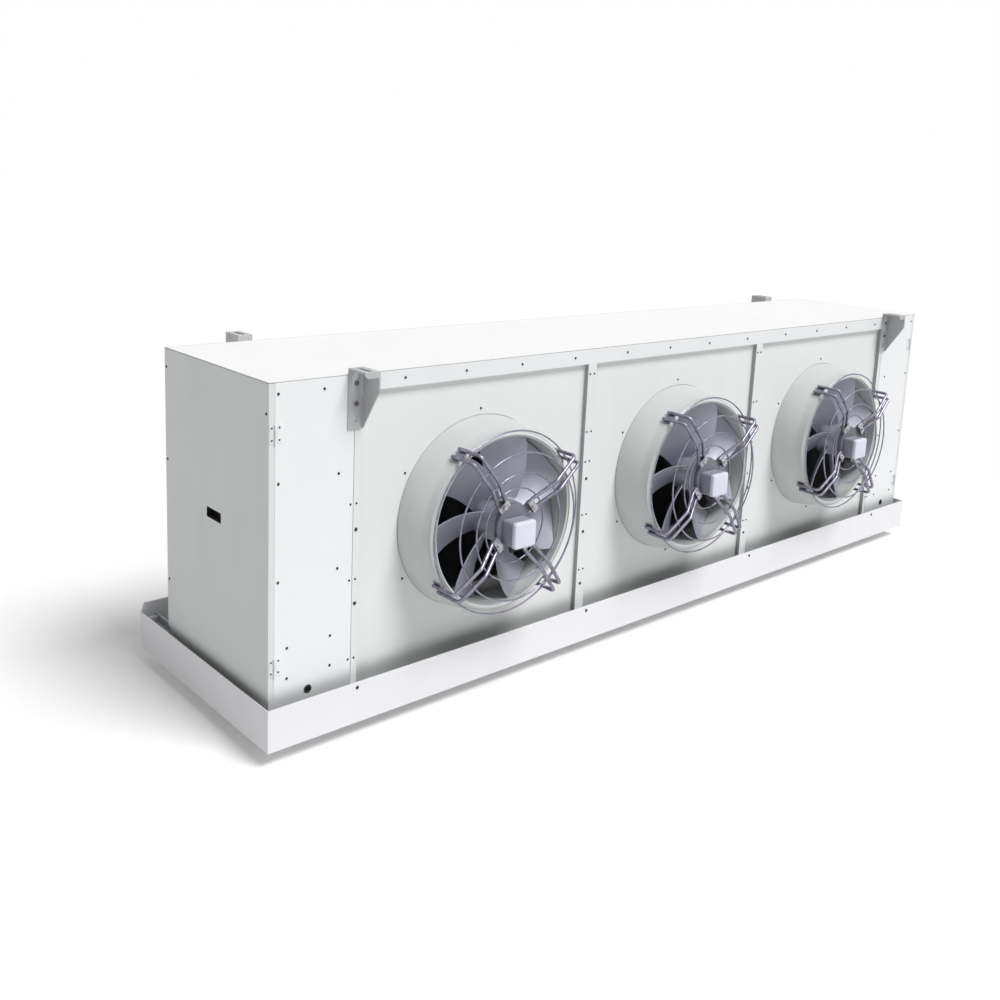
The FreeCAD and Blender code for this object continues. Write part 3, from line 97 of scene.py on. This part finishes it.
# One material, built from the middle of the Principled shader outwards
class Surface:
    def __init__(self, name, roughness=0.5, metallic=0.0):
        self.material = bpy.data.materials.new(name)
        self.material.use_nodes = True
        self.tree = self.material.node_tree
        self.shader = self.tree.nodes["Principled BSDF"]
        self.shader.inputs["Roughness"].default_value = roughness
        self.shader.inputs["Metallic"].default_value = metallic
        self.place = self.add("ShaderNodeTexCoord", output="Object")

    def add(self, kind, settings=None, inputs=None, output=0):
        node = self.tree.nodes.new(kind)
        for key, value in (settings or {}).items():
            if key == "stops":
                ramp = node.color_ramp.elements
                for stop, (position, shade) in zip(ramp, value):
                    stop.position = position
                    stop.color = (shade, shade, shade, 1)
            else:
                setattr(node, key, value)
        for key, value in (inputs or {}).items():
            if isinstance(value, Signal):
                self.tree.links.new(value.socket, node.inputs[key])
            else:
                node.inputs[key].default_value = value
        return Signal(self, node.outputs[output])

    def stretched(self, scale):
        return self.add("ShaderNodeMapping", {}, {"Vector": self.place, "Scale": scale})

    def noise(self, scale, detail=3.0, place=None):
        return self.add("ShaderNodeTexNoise", {}, {"Vector": place or self.place, "Scale": scale,
                                                   "Detail": detail})

    def ramp(self, value, low, high):
        return self.add("ShaderNodeValToRGB", {"stops": [(low, 0.0), (high, 1.0)]}, {"Fac": value})

    def blend(self, share, first, second):
        settings = {"data_type": "RGBA"}
        return self.add("ShaderNodeMix", settings, {0: share, 6: first, 7: second}, 2)

    def feed(self, name, value):
        self.tree.links.new(value.socket, self.shader.inputs[name])

    def bump(self, height, distance, strength=1.0):
        inputs = {"Height": height, "Distance": distance, "Strength": strength}
        self.feed("Normal", self.add("ShaderNodeBump", {}, inputs))


def shade(rgb):
    return tuple(((c + 0.055) / 1.055) ** 2.4 if c > 0.04045 else c / 12.92 for c in rgb) + (1.0,)


# Painted shade: a darker band on the sheets just above the tray
trayShadeBand = {"low": -0.885, "high": -0.822, "waver": 0.02, "colour": (0.50, 0.51, 0.51)}

# Painted shade: a dark line along the outer edges of the roof, where its sheet is folded down
roofFoldShade = {"width": 0.0035, "blur": 0.001}


# Powder coat: fine orange peel, slow drift in tone and a little dust in the gloss
def powderCoat(name, colour, shadow, gloss=0.42, drift=0.35, trayShadeDepth=0.0, sideShade=None, foldShade=None):
    coat = Surface(name)
    clouds = coat.noise(2.2, 4.0)
    smears = coat.noise(9.0, 6.0, coat.stretched((1.0, 1.0, 0.25)))
    tone = coat.ramp(clouds, 0.35, 0.75) * drift + coat.ramp(smears, 0.52, 0.78) * (drift * 0.6)
    paint = coat.blend(tone, shade(colour), shade(shadow))
    if sideShade:  # painted shade on the narrow faces to the left and right
        normal = coat.add("ShaderNodeNewGeometry", output="True Normal")
        sideways = coat.add("ShaderNodeSeparateXYZ", {}, {"Vector": normal}, "X")
        paint = coat.blend(sideways.join("ABSOLUTE", sideways), paint, shade(sideShade))
    # Painted shade in a dark line along the roof's outer edges
    if foldShade:
        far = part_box("top_panel")[1]
        past = []  # how far a point lies past the inner side of the line
        for axis, limit in (("X", far.x), ("Y", far.y)):
            along = coat.add("ShaderNodeSeparateXYZ", {}, {"Vector": coat.place}, axis)
            past.append(along.join("ABSOLUTE", along) - (limit - roofFoldShade["width"]))
        line = coat.add("ShaderNodeMapRange", {}, {"Value": past[0].join("MAXIMUM", *past),
                                                   "From Min": 0.0, "From Max": roofFoldShade["blur"]})
        paint = coat.blend(line, paint, shade(foldShade))
    # Painted shade: the sheet darkens towards the tray, and the band's top edge wavers with the smears
    if trayShadeDepth:
        height = coat.add("ShaderNodeSeparateXYZ", {}, {"Vector": coat.place}, "Z")
        trayShadeMask = coat.add("ShaderNodeMapRange", {"interpolation_type": "SMOOTHSTEP"},
                        {"Value": height + smears * trayShadeBand["waver"], "From Min": trayShadeBand["low"],
                         "From Max": trayShadeBand["high"], "To Min": trayShadeDepth, "To Max": 0.0})
        paint = coat.blend(trayShadeMask, paint, shade(trayShadeBand["colour"]))
    coat.feed("Base Color", paint)
    coat.feed("Roughness", gloss + coat.ramp(smears, 0.4, 0.8) * 0.14)
    coat.bump(coat.noise(900.0, 2.0), 0.00006, 0.35)
    return coat.material


# Galvanised sheet: crystals of zinc in two sizes
def galvanised(name, colour, shadow, metallic=0.75):
    zinc = Surface(name, 0.45, metallic)
    crystals = zinc.add("ShaderNodeTexVoronoi", {"feature": "F1"}, {"Vector": zinc.place, "Scale": 110.0},
                        "Color")
    grains = zinc.add("ShaderNodeSeparateColor", {}, {"Color": crystals})
    streaks = zinc.noise(30.0, 5.0)
    tone = grains * 0.55 + zinc.ramp(streaks, 0.35, 0.7) * 0.4
    zinc.feed("Base Color", zinc.blend(tone, shade(colour), shade(shadow)))
    zinc.feed("Roughness", 0.34 + grains * 0.18 + streaks * 0.1)
    zinc.bump(zinc.noise(420.0, 3.0), 0.00005, 0.4)
    return zinc.material


# Plated wire and fasteners: bright metal with a dull bloom
def platedSteel(name, colour, shadow, roughness=0.3):
    plate = Surface(name, roughness, 0.85)
    bloom = plate.noise(60.0, 5.0)
    tone = plate.ramp(bloom, 0.4, 0.72)
    plate.feed("Base Color", plate.blend(tone, shade(colour), shade(shadow)))
    plate.feed("Roughness", roughness + tone * 0.2)
    plate.bump(plate.noise(800.0, 2.0), 0.00003, 0.3)
    return plate.material


# Moulded or cast parts: fine grain and slightly worn gloss
def castFinish(name, colour, shadow, roughness=0.5, grain=700.0, depth=0.0001, metallic=0.0):
    cast = Surface(name, roughness, metallic)
    patches = cast.noise(14.0, 5.0)
    speckle = cast.noise(grain, 2.0)
    tone = cast.ramp(patches, 0.35, 0.75) * 0.5 + cast.ramp(speckle, 0.45, 0.8) * 0.3
    cast.feed("Base Color", cast.blend(tone, shade(colour), shade(shadow)))
    cast.feed("Roughness", roughness + patches * 0.16)
    cast.bump(speckle, depth, 0.5)
    return cast.material


# Rolled fins: fine ripples along the sheet and a dusting where the air enters
def finSheet(name, colour, shadow):
    fins = Surface(name, 0.42, 0.8)
    ripple = fins.noise(1.0, 3.0, fins.stretched((2.0, 60.0, 240.0)))
    dust = fins.noise(6.0, 5.0)
    fins.feed("Base Color", fins.blend(fins.ramp(dust, 0.4, 0.8), shade(colour), shade(shadow)))
    fins.feed("Roughness", 0.36 + fins.ramp(dust, 0.3, 0.7) * 0.25)
    fins.bump(ripple, 0.0003, 0.6)
    return fins.material


# Drawn copper with tarnish
def copperFinish(name):
    copper = Surface(name, 0.32, 0.95)
    tarnish = copper.noise(18.0, 6.0)
    tone = copper.ramp(tarnish, 0.38, 0.72)
    copper.feed("Base Color", copper.blend(tone, shade((0.85, 0.55, 0.40)), shade((0.45, 0.27, 0.19))))
    copper.feed("Roughness", 0.26 + tone * 0.3)
    copper.bump(copper.noise(300.0, 3.0), 0.00004, 0.4)
    return copper.material


finishes = {
    # Casing panels, fan panels and side covers get painted shade just above the tray
    "white": powderCoat("panelCoat", (0.925, 0.93, 0.935), (0.885, 0.895, 0.90), trayShadeDepth=0.55),
    "fanWhite": powderCoat("fanPanelCoat", (0.90, 0.905, 0.905), (0.86, 0.87, 0.87), trayShadeDepth=0.65),
    # Roof: painted shade in a dark line along its folded edges
    "roof": powderCoat("roofCoat", (0.95, 0.95, 0.95), (0.925, 0.93, 0.93), 0.5, foldShade=(0.66, 0.665, 0.67)),
    "rail": powderCoat("railCoat", (0.905, 0.91, 0.915), (0.87, 0.88, 0.88), 0.4),
    # Posts: painted shade on their left and right faces
    "post": powderCoat("postCoat", (0.89, 0.895, 0.90), (0.85, 0.86, 0.86), 0.4, sideShade=(0.62, 0.625, 0.63)),
    # Side covers: the casing's white darkened as painted shade for their sideways faces
    "cover": powderCoat("coverShadedCoat", (0.86, 0.875, 0.87), (0.815, 0.83, 0.83), trayShadeDepth=0.5),
    # Nozzle rings: a grey-green white, darkened in part as painted shade for their shaded flare
    "nozzle": powderCoat("nozzleTintAndShadeCoat", (0.79, 0.805, 0.80), (0.73, 0.75, 0.745), 0.34),
    "tray": powderCoat("trayCoat", (0.915, 0.915, 0.925), (0.87, 0.875, 0.885), 0.38),
    "inside": galvanised("innerSheet", (0.72, 0.74, 0.76), (0.58, 0.60, 0.62)),
    "bracket": castFinish("bracketZinc", (0.74, 0.745, 0.75), (0.64, 0.645, 0.65), 0.42, 260.0, 0.00006, 0.25),
    "wire": platedSteel("guardWire", (0.58, 0.57, 0.63), (0.44, 0.43, 0.48)),
    "bolt": platedSteel("boltPlate", (0.74, 0.74, 0.76), (0.56, 0.56, 0.58), 0.3),
    "stud": castFinish("studSteel", (0.42, 0.42, 0.43), (0.30, 0.30, 0.31), 0.45, 500.0, 0.00004, 0.3),
    "screw": castFinish("screwBlack", (0.20, 0.20, 0.21), (0.12, 0.12, 0.12), 0.45, 500.0, 0.00004, 0.2),
    "blade": castFinish("bladeLacquer", (0.66, 0.67, 0.72), (0.58, 0.59, 0.64), 0.38, 500.0, 0.00005, 0.25),
    "motor": castFinish("motorCasting", (0.52, 0.52, 0.56), (0.40, 0.40, 0.44), 0.48, 600.0, 0.0001, 0.5),
    # Terminal box body: the lid's bluish paint darkened as painted shade for its sides
    "box": castFinish("boxShadedCasting", (0.60, 0.60, 0.65), (0.52, 0.52, 0.57), 0.45),
    "lid": castFinish("lidCasting", (0.87, 0.875, 0.93), (0.82, 0.825, 0.88), 0.4),
    "blackPlastic": castFinish("blackPlastic", (0.055, 0.055, 0.06), (0.03, 0.03, 0.03), 0.5),
    "rubber": castFinish("grommetRubber", (0.05, 0.05, 0.05), (0.025, 0.025, 0.025), 0.65, 350.0),
    "fin": finSheet("finSheet", (0.70, 0.71, 0.73), (0.52, 0.53, 0.55)),
    "copper": copperFinish("copperTube"),
}

# The first entry that a node's name starts with is its finish
nameStarts = {
    "top_panel": "roof", "front_top_rail": "rail", "rear_frame": "white", "drip_tray": "tray",
    "drain_socket": "inside", "tray_hinge_arms": "inside", "cable_grommets": "rubber",
    "cable_glands": "blackPlastic", "guard_bolts": "bolt", "bracket_bolts": "stud",
    "casing_screws": "screw", "tray_screws": "screw", "cover_hinges": "white", "fin_pack": "fin",
    "inlet_header": "copper", "outlet_header": "copper",
    "front_end_panel": "white", "rear_end_panel": "white", "side_cover": "cover", "cover_screws": "screw",
    "bay_partition": "post", "fan_panel": "fanWhite", "nozzle_ring": "nozzle", "fan_motor": "motor",
    "impeller": "blade", "fan_guard": "wire", "terminal_box_lid": "lid", "terminal_box": "box",
    "grip_cup": "blackPlastic", "coil_end_plate": "inside", "return_bends": "copper",
    "hanging_bracket": "bracket",
}


def finishOf(name):
    return finishes[next(kind for start, kind in nameStarts.items() if name.startswith(start))]


for name, item in nodes.items():
    item.data.materials.clear()
    item.data.materials.append(finishOf(name))
print("finishes set:", len(finishes))

slotNames = {entry["node"]: entry["material_slot"] for entry in frame["record"]["subparts"]}
mergeDistance = 0.00002  # the nodes' meshes are loose triangles


def addPiece(name, bm, finish, body, slotName, *replaced):
    mesh = bpy.data.meshes.new(name)
    bmesh.ops.recalc_face_normals(bm, faces=bm.faces[:])
    bm.to_mesh(mesh)
    bm.free()
    mesh.materials.append(finishes[finish])
    piece = bpy.data.objects.new(name, mesh)
    bpy.context.scene.collection.objects.link(piece)
    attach(piece, body)
    if replaced:
        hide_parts(*replaced)
    return piece


def smoothBelow(piece, degrees=35):
    piece.data.shade_smooth()
    piece.data.set_sharp_from_angle(angle=math.radians(degrees))


# A merged copy of a node with eased edges stands for it
def easedCopy(name, width=0.0006, angle=40, segments=2):
    source = nodes[name]
    bm = bmesh.new()
    bm.from_mesh(source.data)
    bmesh.ops.remove_doubles(bm, verts=bm.verts[:], dist=mergeDistance)
    bmesh.ops.dissolve_limit(bm, angle_limit=math.radians(0.5), verts=bm.verts[:], edges=bm.edges[:])
    mesh = bpy.data.meshes.new(name + ".eased")
    bm.to_mesh(mesh)
    bm.free()
    mesh.materials.append(finishOf(name))
    piece = bpy.data.objects.new(name + ".eased", mesh)
    bpy.context.scene.collection.objects.link(piece)
    smoothBelow(piece, angle)
    if width:
        edge = piece.modifiers.new("eased", "BEVEL")
        edge.width = width
        edge.segments = segments
        edge.limit_method = "ANGLE"
        edge.angle_limit = math.radians(angle)
        edge.use_clamp_overlap = True
    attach(piece, bodyOf[name])
    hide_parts(name)
    return piece


# Lowest and highest corners of the separate solids of a node
def solidsOf(name):
    bm = bmesh.new()
    bm.from_mesh(nodes[name].data)
    bmesh.ops.remove_doubles(bm, verts=bm.verts[:], dist=mergeDistance)
    seen = set()
    found = []
    for start in bm.verts:
        if start in seen:
            continue
        seen.add(start)
        island = [start]
        for vert in island:
            for edge in vert.link_edges:
                other = edge.other_vert(vert)
                if other not in seen:
                    seen.add(other)
                    island.append(other)
        low = Vector([min(v.co[k] for v in island) for k in range(3)])
        high = Vector([max(v.co[k] for v in island) for k in range(3)])
        found.append((low, high))
    bm.free()
    return found


# Screws: domed washer heads with a socket, one for each solid of the node
screw = {"sides": 14, "dome": 0.72, "rim": 0.3, "wall": 0.08, "sink": 0.55}


def screwHeads(name):
    bm = bmesh.new()
    for low, high in solidsOf(name):
        size = high - low
        middle = (low + high) / 2
        axis = min(range(3), key=lambda k: size[k])
        out = Vector((0, 0, 0))
        out[axis] = 1 if axis == 0 and middle.x > 0 else -1
        radius = max(size) / 2
        height = size[axis]
        turn = out.to_track_quat("Z", "Y").to_matrix().to_4x4()
        place = Matrix.Translation(middle) @ turn
        made = bmesh.ops.create_cone(bm, cap_ends=True, segments=screw["sides"], radius1=radius,
                                     radius2=radius * screw["dome"], depth=height, matrix=place)
        rim = {face for vert in made["verts"] for face in vert.link_faces}
        cap = max(rim, key=lambda face: face.calc_center_median().dot(out))
        bmesh.ops.inset_individual(bm, faces=[cap], thickness=radius * screw["rim"], depth=0)
        bmesh.ops.inset_individual(bm, faces=[cap], thickness=radius * screw["wall"],
                                   depth=-height * screw["sink"])
    piece = addPiece(name + ".heads", bm, "screw", bodyOf[name], slotNames[name], name)
    smoothBelow(piece, 40)
    return piece


for name in ("casing_screws", "tray_screws", "cover_screws_left", "cover_screws_right"):
    screwHeads(name)

# Hinge screws: two in each leaf, on the cover and on the front end panel
hingeScrew = {"drops": (0.150, 0.778), "spread": 0.016, "face": -0.301, "coverX": 1.5972,
              "panelX": 1.5752, "radius": 0.0028, "dome": 0.7, "height": 0.001, "sides": 10}


def hingeScrews(name, body, columns):
    bm = bmesh.new()
    for x in columns:
        for drop in hingeScrew["drops"]:
            for up in (-hingeScrew["spread"], hingeScrew["spread"]):
                spot = (x, hingeScrew["face"] - hingeScrew["height"] / 2, up - drop)
                place = Matrix.Translation(spot) @ Matrix.Rotation(math.pi / 2, 4, "X")
                bmesh.ops.create_cone(bm, cap_ends=True, segments=hingeScrew["sides"],
                                      radius1=hingeScrew["radius"],
                                      radius2=hingeScrew["radius"] * hingeScrew["dome"],
                                      depth=hingeScrew["height"], matrix=place)
    addPiece(name, bm, "screw", body, "zinc_fastener")


hingeScrews("hinge_screws_casing", "casing", (-hingeScrew["panelX"], hingeScrew["panelX"]))
hingeScrews("hinge_screws_left", "side_cover_left", (-hingeScrew["coverX"],))
hingeScrews("hinge_screws_right", "side_cover_right", (hingeScrew["coverX"],))
print("screws made")

# Coil: thin fins on four rows of tubes between the end plates
coil = {"fins": 338, "thickness": 0.0004, "tubeRadius": 0.008, "rows": 4, "levels": 16,
        "rowPitch": 0.06, "levelPitch": 0.05, "sides": 12}


def makeCoil():
    low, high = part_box("fin_pack")
    middle = (low + high) / 2
    size = high - low
    pitch = size.x / coil["fins"]
    bm = bmesh.new()
    bmesh.ops.create_cube(bm, size=1.0)
    bmesh.ops.scale(bm, vec=(coil["thickness"], size.y, size.z), verts=bm.verts[:])
    bmesh.ops.translate(bm, vec=(low.x + pitch / 2, middle.y, middle.z), verts=bm.verts[:])
    fins = addPiece("coil.fins", bm, "fin", "casing", "fin_sheet", "fin_pack")
    stack = fins.modifiers.new("stack", "ARRAY")
    stack.count = coil["fins"]
    stack.use_relative_offset = False
    stack.use_constant_offset = True
    stack.constant_offset_displace = (pitch, 0, 0)
    bm = bmesh.new()
    for row in range(coil["rows"]):
        y = middle.y + coil["rowPitch"] * ((coil["rows"] - 1) / 2 - row)
        for level in range(coil["levels"]):
            z = middle.z + coil["levelPitch"] * ((coil["levels"] - 1) / 2 - level)
            place = Matrix.Translation((middle.x, y, z)) @ Matrix.Rotation(math.pi / 2, 4, "Y")
            bmesh.ops.create_cone(bm, cap_ends=True, segments=coil["sides"], radius1=coil["tubeRadius"],
                                  radius2=coil["tubeRadius"], depth=size.x, matrix=place)
    tubes = addPiece("coil.tubes", bm, "copper", "casing", "copper_tube")
    smoothBelow(tubes, 40)


makeCoil()
print("coil made")

# Lid of a terminal box with its front rim rounded over
lidRound = {"radius": 0.0055, "segments": 4, "rim": 0.0002}


def roundLid(name):
    low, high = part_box(name)
    bm = bmesh.new()
    bm.from_mesh(nodes[name].data)
    bmesh.ops.remove_doubles(bm, verts=bm.verts[:], dist=mergeDistance)
    bmesh.ops.dissolve_limit(bm, angle_limit=math.radians(0.5), verts=bm.verts[:], edges=bm.edges[:])
    rim = [edge for edge in bm.edges if all(v.co.y < low.y + lidRound["rim"] for v in edge.verts)
           and edge.calc_face_angle(0) > 1]
    bmesh.ops.bevel(bm, geom=rim, offset=lidRound["radius"], offset_type="OFFSET", profile=0.5,
                    segments=lidRound["segments"], affect="EDGES", material=-1)
    piece = addPiece(name + ".rounded", bm, "lid", bodyOf[name], slotNames[name], name)
    smoothBelow(piece, 32)


for index in fans:
    for start in ("nozzle_ring", "impeller", "fan_guard", "fan_motor"):
        easedCopy(f"{start}_{index}", 0.0, 32)
    easedCopy(f"terminal_box_{index}", 0.0014, 40, 3)
    roundLid(f"terminal_box_lid_{index}")
for name in ("inlet_header", "outlet_header", "return_bends_left", "return_bends_right", "drain_socket",
             "cable_grommets", "cable_glands", "guard_bolts", "cover_hinges"):
    easedCopy(name, 0.0, 32)
for place in ("front_left", "front_right", "rear_left", "rear_right"):
    easedCopy("hanging_bracket_" + place, 0.0008, 40)
print("curved pieces smoothed")


# Floor and light: a soft sun over the right shoulder, white behind and below
studio = {"floor": cadBox[0][2], "reach": 60.0, "ambient": 0.30, "sun": 2.8, "softness": 25,
          "lift": 0.17, "toSun": (0.16, -0.50, 0.80)}


# How much of a ray looks at the background: camera, glossy and transmission rays do
def looking(tree):
    rays = tree.nodes.new("ShaderNodeLightPath")
    total = rays.outputs["Is Camera Ray"]
    for kind in ("Is Glossy Ray", "Is Transmission Ray"):
        either = tree.nodes.new("ShaderNodeMath")
        either.operation = "MAXIMUM"
        tree.links.new(total, either.inputs[0])
        tree.links.new(rays.outputs[kind], either.inputs[1])
        total = either.outputs[0]
    return total


def makeFloor():
    bm = bmesh.new()
    bmesh.ops.create_grid(bm, x_segments=1, y_segments=1, size=studio["reach"])
    bmesh.ops.translate(bm, vec=(0, 0, studio["floor"]), verts=bm.verts[:])
    mesh = bpy.data.meshes.new("floor")
    bm.to_mesh(mesh)
    bm.free()
    floor = bpy.data.objects.new("floor", mesh)
    bpy.context.scene.collection.objects.link(floor)
    ground = Surface("floorPaint", 0.9)
    ground.feed("Base Color", ground.blend(ground.noise(1.5), shade((0.915, 0.915, 0.915)),
                                           shade((0.905, 0.905, 0.905))))
    ground.shader.inputs["Specular IOR Level"].default_value = 0.0
    plain = Signal(ground, ground.shader.outputs[0])
    glow = ground.add("ShaderNodeEmission", {}, {"Strength": studio["lift"]})
    lifted = ground.add("ShaderNodeAddShader", {}, {0: plain, 1: glow})
    seen = Signal(ground, looking(ground.tree))
    mixed = ground.add("ShaderNodeMixShader", {}, {0: seen, 1: plain, 2: lifted})
    ground.tree.links.new(mixed.socket, ground.tree.nodes["Material Output"].inputs[0])
    mesh.materials.append(ground.material)


def makeWorld():
    world = bpy.data.worlds.new("studio")
    bpy.context.scene.world = world
    world.use_nodes = True
    tree = world.node_tree
    tree.nodes.clear()
    choose = tree.nodes.new("ShaderNodeMixShader")
    tree.links.new(looking(tree), choose.inputs[0])
    for slot, strength in ((1, studio["ambient"]), (2, 1.0)):
        sky = tree.nodes.new("ShaderNodeBackground")
        sky.inputs["Color"].default_value = (1, 1, 1, 1)
        sky.inputs["Strength"].default_value = strength
        tree.links.new(sky.outputs[0], choose.inputs[slot])
    output = tree.nodes.new("ShaderNodeOutputWorld")
    tree.links.new(choose.outputs[0], output.inputs[0])


def makeSun():
    lamp = bpy.data.lights.new("sun", "SUN")
    lamp.energy = studio["sun"]
    lamp.angle = math.radians(studio["softness"])
    item = bpy.data.objects.new("sun", lamp)
    bpy.context.scene.collection.objects.link(item)
    item.rotation_mode = "QUATERNION"
    item.rotation_quaternion = (-Vector(studio["toSun"])).to_track_quat("-Z", "Y")


makeFloor()
makeWorld()
makeSun()
print("light set")

# Camera: place in metres, angles in radians, focal length in picture widths
shot = {"spot": (-2.9121, -2.6357, 0.5247), "azimuth": -0.7430, "elevation": 0.1859, "roll": 0.0474,
        "focal": 1.07596, "middle": (0.5195, 0.3741)}

lens = bpy.data.cameras.new("camera")
lens.sensor_width = 36.0
lens.lens = 36.0 * shot["focal"]
lens.shift_x = 0.5 - shot["middle"][0]
lens.shift_y = shot["middle"][1] - 0.5
camera = bpy.data.objects.new("camera", lens)
bpy.context.scene.collection.objects.link(camera)
azimuth, elevation, roll = shot["azimuth"], shot["elevation"], shot["roll"]
ahead = Vector((-math.sin(azimuth) * math.cos(elevation), math.cos(azimuth) * math.cos(elevation),
                -math.sin(elevation)))
right = Vector((math.cos(azimuth), math.sin(azimuth), 0))
above = right.cross(ahead)
across = math.cos(roll) * right + math.sin(roll) * above
upward = -math.sin(roll) * right + math.cos(roll) * above
facing = Matrix((across, upward, -ahead)).transposed().to_4x4()
camera.matrix_world = Matrix.Translation(shot["spot"]) @ facing
bpy.context.scene.camera = camera
bpy.context.scene.view_settings.view_transform = "Standard"
print("camera set")
